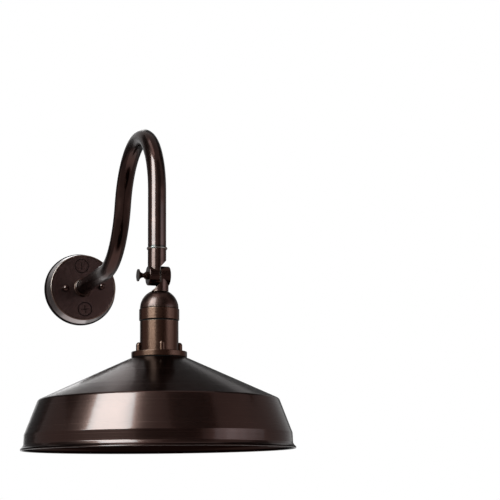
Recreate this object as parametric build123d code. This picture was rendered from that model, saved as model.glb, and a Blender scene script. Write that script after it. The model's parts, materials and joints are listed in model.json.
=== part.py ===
from build123d import *
from math import cos, pi, radians, sin, sqrt, tan
import os

# Gooseneck wall sconce, in millimetres.  The wall is the plane y = 0 and the lamp stands out of it
# towards -Y.  +Z is up, +X is to the right of someone who faces the wall.  The origin is where the
# canopy's centre line meets the wall.

# ---------------------------------------------------------------- driving dimensions

# arm: a bent tube in the plane x = 0
TUBE_R = 14.0
TUBE_WALL = 1.6
ARM_RUN = 220.0            # from the wall to the start of the rising bend
RISE_BEND_R = 126.0
RISE_ANGLE = 74.0          # how far the arm turns up before the crook
ARM_STRAIGHT = 8.0         # between the two bends
CROOK_R = 111.0
LEG_FOOT_Z = -18.6         # where the tube ends above the knuckle

# canopy on the wall
GASKET_R = 69.0
GASKET_RING = 8.0
GASKET_THICK = 3.0
CANOPY_BASE_R = 67.8
CANOPY_FACE_R = 62.7
CANOPY_WALL = 2.5
CANOPY_FACE_THICK = 3.0
CANOPY_FRONT = 31.7        # wall to the canopy's flat face
BEAD_HEIGHT = 0.8          # the raised edge round the face
BEAD_WIDTH = 2.6
BEAD_ROUND = 1.5           # the bead's outer edge
CANOPY_TURN = 5.0          # degrees, nuts and plugs stand turned by this

# closure plugs in the face
PLUG_RADIUS_AT = 41.6
PLUG_HEAD_R = 12.7
PLUG_HEAD_THICK = 3.0
PLUG_SHANK_R = 10.0
PLUG_EDGE = 0.4            # chamfer round the head
PLUG_DEPTH = 9.0
PLUG_BOSS_R = 14.6
PLUG_BOSS_COVER = 1.0      # the boss reaches this much deeper than the plug
PLUG_SLOT = (1.3, 15.0, 1.1)   # width, length, depth

# crossbar, its studs and their nuts
STUD_PITCH = 69.85
STUD_R = 2.05
STUD_END = 37.6
BOX_SCREW_PITCH = 88.9
BAR_SIZE = (BOX_SCREW_PITCH + 19.1, 22.0, 2.5)   # length, width, thickness
BAR_CORNER_R = 7.0
BOX_SLOT = (10.0, 4.8)     # length, width
BAR_CENTRE_HOLE_R = 5.2
NUT_FLATS = 8.7
NUT_THICK = 3.2
BALL_NUT_R = 6.2
BALL_NUT_NECK_R = 5.0
BALL_NUT_HEIGHT = 11.5
GROUND_SCREW_AT = 17.0
GROUND_HEAD_R = 4.2
GROUND_HEAD_THICK = 2.4
GROUND_SLOT = (1.0, 1.0)   # width, depth

# how the arm is held on the canopy
NIPPLE_R = 8.5
NIPPLE_WALL = 1.9
NIPPLE_BACK = 20.0
NIPPLE_FRONT = 56.0
COLLAR_FLANGE_R = 18.2
COLLAR_FLANGE_THICK = 2.7
COLLAR_HUB_R = 16.6
COLLAR_LENGTH = 10.8
COLLAR_SLOPE = 0.6         # the flange's front falls this much to its edge
COLLAR_EDGE = 1.4
COLLAR_FLOOR = 4.5
BUSHING_INSET = 1.0        # behind it, room for the brazing
LOCKNUT_FLATS = 25.4
LOCKNUT_THICK = 4.0
WASHER_R = 13.5
WASHER_THICK = 1.2
WASHER_TEETH = 12
WASHER_NOTCH = (3.6, 2.4)  # across and along the washer's edge

# knuckle: two equal halves that meet at a toothed seam
HEAD_SHIFT = 3.6           # the head's axis lies this far to the right of the arm's
KNUCKLE_Z = -62.6
KNUCKLE_R = 15.0
KNUCKLE_HALF = 16.5        # seam to outer end
KNUCKLE_EDGE = 1.6
BEVEL_RISE = 24.6          # pivot axis to where the neck's bevel starts
SADDLE_GAP = 0.5           # between a neck and the other half's boss
TEETH = 24
TOOTH_HEIGHT = 1.5
TOOTH_RING = (10.8, 14.8)
TOOTH_FILL = 0.96          # share of the pitch that a tooth's root takes up
TOOTH_SUNK = 0.3           # how deep a tooth is set in its half
TIP_GAP = 0.2              # the teeth are drawn clear of each other
CHAMBER_R = 10.3
UPPER_END_WALL = 3.5
LOWER_END_WALL = 7.0
SPIGOT_R = 12.3
SPIGOT_LENGTH = 18.0
RING_R = 15.7
RING_HEIGHT = 3.4
RING_ROUND = 1.5
BORE_INSET = 1.6           # the wire bore ends this far inside the neck's top

# thumbscrew
BOLT_R = 3.0
BOLT_GRIP = 4.5            # thread held in the lower half
THUMB_WASHER_R = 6.0
THUMB_WASHER_THICK = 1.6
THUMB_COLLAR_R = 5.4
THUMB_COLLAR_THICK = 2.4
THUMB_SHOULDER = 1.8       # from the collar in to the waist
THUMB_WAIST_R = 3.4
THUMB_DISC_R = 9.3
THUMB_LENGTH = 15.4        # from the knuckle's end to the disc's face
THUMB_DISC_THICK = 1.7
THUMB_FLARE = (1, 0.35)    # heading of the trumpet's curve at the disc

# wires
WIRE_R = 1.25
WIRE_SPREAD = 4.6          # each side of the tube's axis
WIRE_SHIFT = 2.5           # sideways from the tube's axis
WIRE_TURN_R = 4.0
WIRE_BORE_R = 6.3
WIRE_START = 12.0          # in front of the wall
WIRE_DIP = 3.4             # ends this deep in the lampholder

# socket cap, collar and housing, all turned about the head's axis
DOME_R = 29.0
DOME_WALL = 2.5
DOME_FOOT_Z = -112.2       # the dome's centre, where its groove is
GROOVE = 1.2
STUB_R = 8.5
STUB_LENGTH = 11.0
STUB_NUT_FLATS = 22.0
STUB_NUT_THICK = 4.0
CAP_SKIRT_R = 27.8
CAP_SPIGOT_R = 26.2
CAP_WALL = 2.6
COLLAR_R = 30.2
COLLAR_HEIGHT = 17.2
CAP_COLLAR_EDGE = 0.9
CAP_GASKET_R = 28.4
CAP_GASKET_THICK = 1.8
HOUSING_R = 28.9
HOUSING_HEIGHT = 45.5      # gasket to flange
HOUSING_BORE_R = 25.2
BRACKET_SEAT = 5.6         # below the housing's top
FLANGE_R = 41.7
FLANGE_THICK = 8.7
FLANGE_EDGE = 1.0
BOSS_R = 4.5
BOSS_AT = 30.4
BOSS_HEIGHT = 14.4
BOSS_TURN = -8.0           # degrees about the head's axis
SHADE_SCREWS = 4

# lampholder
BRACKET_THICK = 1.5
BRACKET_SCREW_AT = 17.5
HOLDER_R = 22.0
HOLDER_HEIGHT = 45.0
HOLDER_EDGE = 2.0
HOLDER_MOUTH_R = 15.6
SHELL_BORE_R = 13.25       # medium screw base
SHELL_WALL = 0.5
SHELL_LENGTH = 23.0
CONTACT_ROOM = 5.4         # the porcelain's cavity reaches this far past the shell
SHELL_MOUTH = 3.5          # shell's lip above the porcelain's mouth
CONTACT_SIZE = (14.0, 6.0, 0.8)   # length, width, thickness
CONTACT_FOOT = 4.0         # the part that lies on the porcelain
CONTACT_RISE = 3.0
HOLDER_SCREW_R = 1.6
HOLDER_SCREW_LENGTH = 8.5  # under the head
HOLDER_SCREW_HEAD_R = 3.0
HOLDER_SCREW_HEAD_THICK = 1.8

# shade
SHADE_SHEET = 1.2
SHADE_RIM_R = 203.2
SHADE_HOLE_R = 25.0
SHADE_FLAT_R = 43.5
SHOULDER_R = 178.6
SHOULDER_DROP = 61.9       # below the shade's flat top
BAND_TOP_R = 197.5
BAND_TOP_DROP = 112.3
BAND_FOOT_R = 198.1
BAND_FOOT_DROP = 127.0
RIM_DROP = 133.6
RIM_BEAD_R = 1.6
SHADE_BENDS = (4.0, 6.0, 4.0, 3.0)   # flat, shoulder, band top, band foot
SHADE_GASKET_R = 40.4
SHADE_GASKET_THICK = 1.2
CLAMP_RING_R = 36.5
CLAMP_RING_THICK = 1.5
SCREW_R = 1.8
SCREW_HEAD_R = 4.0
SCREW_HEAD_THICK = 2.6
SCREW_HEAD_ROUND = 1.4
SCREW_HOLE_DEPTH = 16.0
TIP_ROOM = 3.0             # between a screw's tip and the bottom of its hole

# clearances
FIT = 0.1                  # round pieces that are screwed or pushed together
RUNNING = 0.06             # radial, round the bolt
HOLE_GAP = 0.25            # round a screw's shank or a plug's head
PAST = 1.0                 # how far a cut runs past a face
FAR = 150.0                # a size that reaches past any one piece of the knuckle or the nuts
QUARTER_TURN = 90.0
HALF_TURN = 180.0

# ---------------------------------------------------------------- frames

OUT = Plane(origin=(0, 0, 0), x_dir=(1, 0, 0), z_dir=(0, -1, 0))       # local z leaves the wall
ARM = Plane(origin=(0, 0, 0), x_dir=(0, -1, 0), z_dir=(-1, 0, 0))      # local x leaves the wall, y is up
REACH = (ARM_RUN + RISE_BEND_R * sin(radians(RISE_ANGLE)) + ARM_STRAIGHT * cos(radians(RISE_ANGLE))
         + CROOK_R * sin(radians(RISE_ANGLE)) + CROOK_R)
SEAM_X = HEAD_SHIFT / 2
KNUCKLE = Location((SEAM_X, -REACH, KNUCKLE_Z))
HEAD = Location((HEAD_SHIFT, -REACH, 0))
HEAD_SIDE = Location((SEAM_X, -REACH, KNUCKLE_Z), (0, HALF_TURN, 0))   # the lower half is the upper, turned


def turned(*points):
    """A solid turned about Z from its (radius, height) outline."""
    return revolve(make_face(Plane.XZ * Polyline(*points, close=True)), Axis.Z)


def disc(radius, low, high, bore=0.0):
    """A round plate or ring about Z, between two heights."""
    plate = Pos(0, 0, low) * extrude(Circle(radius), high - low)
    if bore:
        plate -= Pos(0, 0, low) * extrude(Circle(bore), high - low)
    return plate


def hex_nut(flats, bore, low, high):
    """A plain hexagon nut about Z."""
    outline = RegularPolygon(flats / sqrt(3), 6) - Circle(bore)
    return Pos(0, 0, low) * extrude(outline, high - low)


def pair_places(radius, turn):
    """Two places on a circle, opposite each other."""
    return [Location((radius * cos(radians(turn + half)), radius * sin(radians(turn + half)), 0))
            for half in (0, HALF_TURN)]


def solids(*pieces):
    """Separate solids that share a node."""
    return Compound([solid for piece in pieces for solid in piece.solids()])


def placed(location, piece):
    """A piece moved to its place in the lamp, as one solid or as separate ones."""
    moved = [location * solid for solid in piece.solids()]
    return moved[0] if len(moved) == 1 else Compound(moved)


# ---------------------------------------------------------------- canopy on the wall

FACE_BACK = CANOPY_FRONT - CANOPY_FACE_THICK
STUD_PLACES = pair_places(STUD_PITCH / 2, CANOPY_TURN)
PLUG_PLACES = pair_places(PLUG_RADIUS_AT, CANOPY_TURN + QUARTER_TURN)


def wall_gasket():
    return disc(GASKET_R, 0, GASKET_THICK, GASKET_R - GASKET_RING)


def canopy():
    bead_inner_r = CANOPY_FACE_R - BEAD_WIDTH
    shell = turned((0, FACE_BACK), (CANOPY_FACE_R - CANOPY_WALL, FACE_BACK),
                   (CANOPY_BASE_R - CANOPY_WALL, GASKET_THICK), (CANOPY_BASE_R, GASKET_THICK),
                   (CANOPY_FACE_R, CANOPY_FRONT + BEAD_HEIGHT), (bead_inner_r, CANOPY_FRONT + BEAD_HEIGHT),
                   (bead_inner_r - BEAD_HEIGHT, CANOPY_FRONT), (0, CANOPY_FRONT))
    rim = shell.edges().filter_by(GeomType.CIRCLE).group_by(Axis.Z)[-1].sort_by(SortBy.RADIUS)[-1]
    shell = fillet(rim, BEAD_ROUND)
    for place in PLUG_PLACES:
        shell += place * disc(PLUG_BOSS_R, CANOPY_FRONT - PLUG_DEPTH - PLUG_BOSS_COVER, FACE_BACK)
    for place in PLUG_PLACES:
        shell -= place * disc(PLUG_SHANK_R + FIT, 0, CANOPY_FRONT)
        shell -= place * disc(PLUG_HEAD_R + HOLE_GAP, CANOPY_FRONT - PLUG_HEAD_THICK, CANOPY_FRONT + PAST)
    for place in STUD_PLACES:
        shell -= place * disc(STUD_R + HOLE_GAP, 0, CANOPY_FRONT + PAST)
    return shell - disc(NIPPLE_R + FIT, 0, CANOPY_FRONT + PAST)


def closure_plug(place, slots):
    """A flush plug: slots is how many grooves cross its head."""
    plug = disc(PLUG_HEAD_R, CANOPY_FRONT - PLUG_HEAD_THICK, CANOPY_FRONT)
    plug = chamfer(plug.edges().group_by(Axis.Z)[-1], PLUG_EDGE)
    plug += disc(PLUG_SHANK_R, CANOPY_FRONT - PLUG_DEPTH, CANOPY_FRONT - PLUG_HEAD_THICK)
    width, length, depth = PLUG_SLOT
    for number in range(slots):
        groove = Box(width, length, 2 * depth)
        plug -= Pos(0, 0, CANOPY_FRONT) * Rot(0, 0, CANOPY_TURN + 90 * number) * groove
    return place * plug


def crossbar():
    length, width, thick = BAR_SIZE
    bar = extrude(RectangleRounded(length, width, BAR_CORNER_R), thick)
    slot_length, slot_width = BOX_SLOT
    slot = extrude(SlotOverall(slot_length, slot_width), thick)
    for side in (-1, 1):
        bar -= Pos(side * BOX_SCREW_PITCH / 2, 0, 0) * slot
    for place in STUD_PLACES:
        bar -= place * disc(STUD_R + FIT, 0, thick)
    bar -= Pos(GROUND_SCREW_AT, 0, 0) * disc(STUD_R + FIT, 0, thick)
    return bar - disc(BAR_CENTRE_HOLE_R, 0, thick)


def canopy_studs():
    return solids(*[place * disc(STUD_R, 0, STUD_END) for place in STUD_PLACES])


def stud_nuts():
    thick = BAR_SIZE[2]
    nut = hex_nut(NUT_FLATS, STUD_R + FIT / 2, thick, thick + NUT_THICK)
    return solids(*[place * nut for place in STUD_PLACES])


def ball_nuts():
    """Cap nuts: a short neck under a ball, blind from behind."""
    neck = disc(BALL_NUT_NECK_R, CANOPY_FRONT, CANOPY_FRONT + BALL_NUT_HEIGHT - BALL_NUT_R)
    nut = neck + Pos(0, 0, CANOPY_FRONT + BALL_NUT_HEIGHT - BALL_NUT_R) * Sphere(BALL_NUT_R)
    nut -= disc(FAR, CANOPY_FRONT - FAR, CANOPY_FRONT)
    nut -= disc(STUD_R + FIT / 2, CANOPY_FRONT, STUD_END + FIT)
    return solids(*[place * nut for place in STUD_PLACES])


def ground_screw():
    seat = BAR_SIZE[2]
    slot_width, slot_depth = GROUND_SLOT
    screw = disc(STUD_R, 0, seat) + disc(GROUND_HEAD_R, seat, seat + GROUND_HEAD_THICK)
    screw -= Pos(0, 0, seat + GROUND_HEAD_THICK) * Box(slot_width, FAR, 2 * slot_depth)
    return Pos(GROUND_SCREW_AT, 0, 0) * screw


# ---------------------------------------------------------------- arm and its fixing

TUBE_START = CANOPY_FRONT + COLLAR_FLOOR


def arm_collar():
    step = CANOPY_FRONT + COLLAR_FLANGE_THICK
    front = CANOPY_FRONT + COLLAR_LENGTH
    collar = turned((NIPPLE_R + FIT, CANOPY_FRONT), (COLLAR_FLANGE_R, CANOPY_FRONT),
                    (COLLAR_FLANGE_R, step), (COLLAR_HUB_R, step + COLLAR_SLOPE), (COLLAR_HUB_R, front),
                    (TUBE_R + FIT, front), (TUBE_R + FIT, TUBE_START), (NIPPLE_R + FIT, TUBE_START))
    outer = collar.edges().filter_by(GeomType.CIRCLE).group_by(Axis.Z)[-1].sort_by(SortBy.RADIUS)[-1]
    return fillet(outer, COLLAR_EDGE)


def arm_nipple():
    return disc(NIPPLE_R, NIPPLE_BACK, NIPPLE_FRONT, NIPPLE_R - NIPPLE_WALL)


def arm_bushing():
    """The threaded plug brazed in the tube's wall end."""
    return disc(TUBE_R - TUBE_WALL - FIT, TUBE_START + BUSHING_INSET, NIPPLE_FRONT, NIPPLE_R + FIT)


def lock_washer():
    ring = disc(WASHER_R, FACE_BACK - WASHER_THICK, FACE_BACK, NIPPLE_R + FIT)
    notch = Pos(WASHER_R, 0, FACE_BACK - WASHER_THICK / 2) * Box(*WASHER_NOTCH, 2 * WASHER_THICK)
    for number in range(WASHER_TEETH):
        ring -= Rot(0, 0, 360 * number / WASHER_TEETH) * notch
    return ring


def arm_locknut():
    front = FACE_BACK - WASHER_THICK
    return hex_nut(LOCKNUT_FLATS, NIPPLE_R + FIT / 2, front - LOCKNUT_THICK, front)


def arm_route(start, foot, lift=0.0):
    """The arm's line in its own plane; lift moves it off the centre line, upwards at the wall."""
    run = Line((start, lift), (ARM_RUN, lift))
    rise = JernArc(run @ 1, run % 1, RISE_BEND_R - lift, RISE_ANGLE)
    straight = Line(rise @ 1, rise @ 1 + (rise % 1) * ARM_STRAIGHT)
    crook = JernArc(straight @ 1, straight % 1, CROOK_R + lift, -RISE_ANGLE - QUARTER_TURN)
    leg = Line(crook @ 1, (REACH + lift, foot))
    return [run, rise, straight, crook, leg]


def arm_tube():
    route = ARM * Wire([part.edge() for part in arm_route(TUBE_START, LEG_FOOT_Z)])
    mouth = Plane(origin=route @ 0, z_dir=route % 0)
    return sweep(mouth * (Circle(TUBE_R) - Circle(TUBE_R - TUBE_WALL)), path=route)


def seam_bend(point, heading, size):
    """A wire's small bend, seen square on from in front of the wall."""
    plane = Plane(origin=point, x_dir=(1, 0, 0), z_dir=(0, -1, 0))
    return plane * JernArc((0, 0), heading, WIRE_TURN_R, size)


def wire_along(edges):
    path = Wire(edges)
    return sweep(Plane(origin=path @ 0, z_dir=path % 0) * Circle(WIRE_R), path=path)


def arm_wire(side):
    """One conductor from the canopy to the knuckle's seam."""
    lift = side * WIRE_SPREAD
    turn_z = KNUCKLE_Z + WIRE_BORE_R
    flat = arm_route(WIRE_START, turn_z + WIRE_TURN_R, lift)
    edges = [(Pos(-WIRE_SHIFT, 0, 0) * (ARM * part)).edge() for part in flat]
    bend = seam_bend(edges[-1] @ 1, (0, -1), QUARTER_TURN)
    last = Line(bend @ 1, ((SEAM_X - TIP_GAP / 2), (bend @ 1).Y, turn_z))
    return wire_along(edges + [bend.edge(), last.edge()])


def head_wire(side):
    """The same conductor's run from the seam down to the lampholder."""
    y = -REACH - side * WIRE_SPREAD
    turn_z = KNUCKLE_Z + WIRE_BORE_R
    bend_x = HEAD_SHIFT + WIRE_SHIFT - WIRE_TURN_R
    first = Line((SEAM_X + TIP_GAP / 2, y, turn_z), (bend_x, y, turn_z))
    bend = seam_bend(first @ 1, (1, 0), -QUARTER_TURN)
    drop = Line(bend @ 1, ((bend @ 1).X, y, HOLDER_TOP - WIRE_DIP))
    return wire_along([first.edge(), bend.edge(), drop.edge()])


# ---------------------------------------------------------------- knuckle

def tooth_ring(turn):
    """Radial teeth that stand on the plane x = -TOOTH_HEIGHT - TIP_GAP / 2 and point to +X."""
    root = -TOOTH_HEIGHT - TIP_GAP / 2
    inner_r, outer_r = TOOTH_RING
    teeth = []
    for number in range(TEETH):
        profiles = []
        for radius in (inner_r, outer_r):
            half = radius * tan(pi / TEETH) * TOOTH_FILL
            flank = Polyline((root - TOOTH_SUNK, -half), (root, -half), (-TIP_GAP / 2, 0), (root, half),
                             (root - TOOTH_SUNK, half), close=True)
            profiles.append(Plane(origin=(0, 0, radius), x_dir=(1, 0, 0), z_dir=(0, 0, 1)) * make_face(flank))
        teeth.append(Rot(turn + 360 * number / TEETH, 0, 0) * loft(profiles, ruled=True))
    return teeth


def knuckle_half(neck_top, spigot_r, spigot_length, end_wall, tooth_turn):
    """A knuckle half about its seam centre: boss towards -X, neck up, bevel on the +X side."""
    along = Rot(0, QUARTER_TURN, 0)
    neck_x = -SEAM_X
    root = TOOTH_HEIGHT + TIP_GAP / 2
    neck = Pos(neck_x, 0, 0) * disc(TUBE_R, 0, neck_top)
    neck -= along * disc(KNUCKLE_R + SADDLE_GAP, -root, FAR)
    wedge = Polyline((neck_x + TUBE_R, BEVEL_RISE), (neck_x + TUBE_R + FAR, BEVEL_RISE + FAR),
                     (neck_x + TUBE_R + FAR, 0), (neck_x + TUBE_R - BEVEL_RISE, 0), close=True)
    beyond_seam = Pos(FAR, 0, 0) * Box(2 * FAR, 2 * FAR, 2 * FAR)
    neck -= extrude(Plane.XZ * make_face(wedge), FAR, both=True) & beyond_seam
    boss = along * disc(KNUCKLE_R, -KNUCKLE_HALF, -root)
    boss = fillet(boss.edges().filter_by(GeomType.CIRCLE).sort_by(Axis.X)[0], KNUCKLE_EDGE)
    half = neck + boss + tooth_ring(tooth_turn)
    half += Pos(neck_x, 0, 0) * disc(spigot_r, neck_top, neck_top + spigot_length)
    half -= along * disc(CHAMBER_R, -KNUCKLE_HALF + end_wall, 0)
    half -= Pos(neck_x - WIRE_SHIFT, 0, 0) * disc(WIRE_BORE_R, 0, neck_top - BORE_INSET)
    throat_r = NIPPLE_R - NIPPLE_WALL
    return half - Pos(neck_x, 0, 0) * disc(throat_r, neck_top - 2 * BORE_INSET, neck_top + spigot_length)


def bolt_hole(depth_from, depth_to):
    return Rot(0, QUARTER_TURN, 0) * disc(BOLT_R + RUNNING, depth_from, depth_to)


RING_FOOT_Z = LEG_FOOT_Z - RING_HEIGHT
DOME_TOP_Z = DOME_FOOT_Z + sqrt(DOME_R ** 2 - TUBE_R ** 2)


def ferrule_ring():
    ring = disc(RING_R, RING_FOOT_Z, LEG_FOOT_Z, SPIGOT_R + FIT)
    outer = ring.edges().filter_by(GeomType.CIRCLE).sort_by(SortBy.RADIUS)[-2:]
    return fillet(outer, RING_ROUND)


def knuckle_upper():
    half = knuckle_half(RING_FOOT_Z - KNUCKLE_Z, SPIGOT_R, SPIGOT_LENGTH, UPPER_END_WALL, 0)
    return half - bolt_hole(-FAR, 0)


def knuckle_lower():
    half = knuckle_half(KNUCKLE_Z - DOME_TOP_Z, STUB_R, STUB_LENGTH, LOWER_END_WALL, HALF_TURN / TEETH)
    floor = -KNUCKLE_HALF + LOWER_END_WALL
    return half - bolt_hole(floor - BOLT_GRIP - FIT, 0)


def thumb_washer():
    low = KNUCKLE_HALF
    return Rot(0, -90, 0) * disc(THUMB_WASHER_R, low, low + THUMB_WASHER_THICK, BOLT_R + RUNNING)


def thumbscrew():
    """A trumpet-shaped head on a long bolt, turned about the pivot axis; height runs out to -X."""
    seat = KNUCKLE_HALF + THUMB_WASHER_THICK
    tip = -(KNUCKLE_HALF - LOWER_END_WALL + BOLT_GRIP)
    face = KNUCKLE_HALF + THUMB_LENGTH
    collar_top = seat + THUMB_COLLAR_THICK
    waist = collar_top + THUMB_SHOULDER
    with BuildSketch(Plane.XZ) as profile:
        with BuildLine():
            Polyline((0, tip), (BOLT_R, tip), (BOLT_R, seat), (THUMB_COLLAR_R, seat),
                     (THUMB_COLLAR_R, collar_top), (THUMB_WAIST_R, waist))
            Spline((THUMB_WAIST_R, waist), (THUMB_DISC_R, face - THUMB_DISC_THICK),
                   tangents=((0, 1), THUMB_FLARE))
            Polyline((THUMB_DISC_R, face - THUMB_DISC_THICK), (THUMB_DISC_R, face), (0, face), (0, tip))
        make_face()
    screw = revolve(profile.sketch, Axis.Z)
    return Rot(0, -90, 0) * screw


# ---------------------------------------------------------------- socket cap, collar and housing

COLLAR_TOP_Z = DOME_FOOT_Z - GROOVE
COLLAR_FOOT_Z = COLLAR_TOP_Z - COLLAR_HEIGHT
HOUSING_TOP_Z = COLLAR_FOOT_Z - CAP_GASKET_THICK
FLANGE_TOP_Z = HOUSING_TOP_Z - HOUSING_HEIGHT
FLANGE_FOOT_Z = FLANGE_TOP_Z - FLANGE_THICK
HOLDER_TOP = HOUSING_TOP_Z - BRACKET_SEAT - BRACKET_THICK
SHADE_TOP_Z = FLANGE_FOOT_Z - SHADE_GASKET_THICK
SCREW_PLACES = [Rot(0, 0, BOSS_TURN + 360 * number / SHADE_SCREWS) * Pos(BOSS_AT, 0, 0)
                for number in range(SHADE_SCREWS)]


def socket_cap():
    """A dome with a flat land for the knuckle, a skirt inside the collar and a spigot."""
    inner_r = DOME_R - DOME_WALL
    land_r = sqrt(inner_r ** 2 - (DOME_TOP_Z - DOME_WALL - DOME_FOOT_Z) ** 2)
    spigot_foot = HOUSING_TOP_Z - BRACKET_SEAT
    bore = CAP_SPIGOT_R - CAP_WALL
    with BuildSketch(Plane.XZ) as profile:
        with BuildLine():
            Line((STUB_R + FIT, DOME_TOP_Z), (TUBE_R, DOME_TOP_Z))
            RadiusArc((TUBE_R, DOME_TOP_Z), (DOME_R, DOME_FOOT_Z), DOME_R)
            Polyline((DOME_R, DOME_FOOT_Z), (CAP_SKIRT_R, DOME_FOOT_Z), (CAP_SKIRT_R, COLLAR_FOOT_Z),
                     (CAP_SPIGOT_R, COLLAR_FOOT_Z), (CAP_SPIGOT_R, spigot_foot), (bore, spigot_foot),
                     (bore, DOME_FOOT_Z), (inner_r, DOME_FOOT_Z))
            RadiusArc((inner_r, DOME_FOOT_Z), (land_r, DOME_TOP_Z - DOME_WALL), -inner_r)
            Polyline((land_r, DOME_TOP_Z - DOME_WALL), (STUB_R + FIT, DOME_TOP_Z - DOME_WALL),
                     (STUB_R + FIT, DOME_TOP_Z))
        make_face()
    return revolve(profile.sketch, Axis.Z)


def cap_collar():
    ring = disc(COLLAR_R, COLLAR_FOOT_Z, COLLAR_TOP_Z, CAP_SKIRT_R + FIT)
    return fillet(ring.edges().filter_by(GeomType.CIRCLE).sort_by(SortBy.RADIUS)[-2:], CAP_COLLAR_EDGE)


def cap_gasket():
    return disc(CAP_GASKET_R, HOUSING_TOP_Z, COLLAR_FOOT_Z, CAP_SPIGOT_R + FIT)


def stub_nut():
    top = DOME_TOP_Z - DOME_WALL
    return hex_nut(STUB_NUT_FLATS, STUB_R + FIT / 2, top - STUB_NUT_THICK, top)


def socket_housing():
    """The casting: a tube, a flange and four round-topped bosses for the shade's screws."""
    casting = disc(HOUSING_R, FLANGE_TOP_Z, HOUSING_TOP_Z)
    flange = disc(FLANGE_R, FLANGE_FOOT_Z, FLANGE_TOP_Z)
    casting += fillet(flange.edges().filter_by(GeomType.CIRCLE), FLANGE_EDGE)
    for place in SCREW_PLACES:
        casting += place * disc(BOSS_R, FLANGE_TOP_Z, FLANGE_TOP_Z + BOSS_HEIGHT - BOSS_R)
        casting += place * Pos(0, 0, FLANGE_TOP_Z + BOSS_HEIGHT - BOSS_R) * Sphere(BOSS_R)
    casting -= disc(HOUSING_BORE_R, FLANGE_FOOT_Z, HOUSING_TOP_Z)
    casting -= disc(CAP_SPIGOT_R + FIT, HOLDER_TOP, HOUSING_TOP_Z)
    for place in SCREW_PLACES:
        casting -= place * disc(SCREW_R + FIT, FLANGE_FOOT_Z, FLANGE_FOOT_Z + SCREW_HOLE_DEPTH)
    return casting


# ---------------------------------------------------------------- lampholder

HOLDER_MOUTH_Z = HOLDER_TOP - HOLDER_HEIGHT
SHELL_FOOT_Z = HOLDER_MOUTH_Z + SHELL_MOUTH
SHELL_TOP_Z = SHELL_FOOT_Z + SHELL_LENGTH
CAVITY_TOP_Z = SHELL_TOP_Z + CONTACT_ROOM
WIRE_PLACES = [(WIRE_SHIFT, side * WIRE_SPREAD) for side in (-1, 1)]
HOLDER_SCREW_TIP = HOLDER_TOP + BRACKET_THICK - HOLDER_SCREW_LENGTH
HOLDER_SCREW_PLACES = [Pos(side * BRACKET_SCREW_AT, 0, 0) for side in (-1, 1)]


def lampholder_bracket():
    plate = disc(CAP_SPIGOT_R, HOLDER_TOP, HOLDER_TOP + BRACKET_THICK)
    for x, y in WIRE_PLACES:
        plate -= Pos(x, y, 0) * disc(WIRE_R + HOLE_GAP, HOLDER_TOP, HOLDER_TOP + BRACKET_THICK)
    for place in HOLDER_SCREW_PLACES:
        plate -= place * disc(HOLDER_SCREW_R + FIT, HOLDER_TOP, HOLDER_TOP + BRACKET_THICK)
    return plate


def lampholder_body():
    """Porcelain, with a stepped mouth round the screw shell."""
    body = disc(HOLDER_R, HOLDER_MOUTH_Z, HOLDER_TOP)
    body = fillet(body.edges().filter_by(GeomType.CIRCLE).group_by(Axis.Z)[0], HOLDER_EDGE)
    body -= disc(SHELL_BORE_R + SHELL_WALL, SHELL_FOOT_Z, CAVITY_TOP_Z)
    body -= disc(HOLDER_MOUTH_R, HOLDER_MOUTH_Z, SHELL_FOOT_Z)
    for x, y in WIRE_PLACES:
        body -= Pos(x, y, 0) * disc(WIRE_R + HOLE_GAP, HOLDER_TOP - WIRE_DIP, HOLDER_TOP)
    for place in HOLDER_SCREW_PLACES:
        body -= place * disc(HOLDER_SCREW_R + FIT, HOLDER_SCREW_TIP - PAST, HOLDER_TOP)
    return body


def lampholder_screws():
    seat = HOLDER_TOP + BRACKET_THICK
    screw = disc(HOLDER_SCREW_R, HOLDER_SCREW_TIP, seat)
    screw += disc(HOLDER_SCREW_HEAD_R, seat, seat + HOLDER_SCREW_HEAD_THICK)
    return solids(*[place * screw for place in HOLDER_SCREW_PLACES])


def screw_shell():
    return disc(SHELL_BORE_R + SHELL_WALL, SHELL_FOOT_Z, SHELL_TOP_Z, SHELL_BORE_R)


def centre_contact():
    """A brass tongue on the porcelain's floor, raised at its end."""
    length, width, thick = CONTACT_SIZE
    foot = CONTACT_FOOT - length / 2
    tongue = Polyline((-length / 2, 0), (foot, 0), (0, -CONTACT_RISE), (length / 2, -CONTACT_RISE),
                      (length / 2, -CONTACT_RISE - thick), (0, -CONTACT_RISE - thick),
                      (foot, -thick), (-length / 2, -thick), close=True)
    return Pos(0, 0, CAVITY_TOP_Z) * extrude(Plane.XZ * make_face(tongue), width / 2, both=True)


# ---------------------------------------------------------------- shade

def offset_points(points, gap):
    """The points moved by gap to the right of the line's direction, mitred at each corner."""
    headings = [(Vector(*b) - Vector(*a)).normalized() for a, b in zip(points, points[1:])]
    moved = []
    for number, point in enumerate(points):
        before = headings[max(number - 1, 0)]
        after = headings[min(number, len(headings) - 1)]
        bisector = (before + after).normalized()
        right = Vector(bisector.Y, -bisector.X)
        moved.append(Vector(*point) + right * (gap / bisector.dot(after)))
    return [(point.X, point.Y) for point in moved]


def screw_holes(radius, low, high):
    return [place * disc(radius, low, high) for place in SCREW_PLACES]


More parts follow.
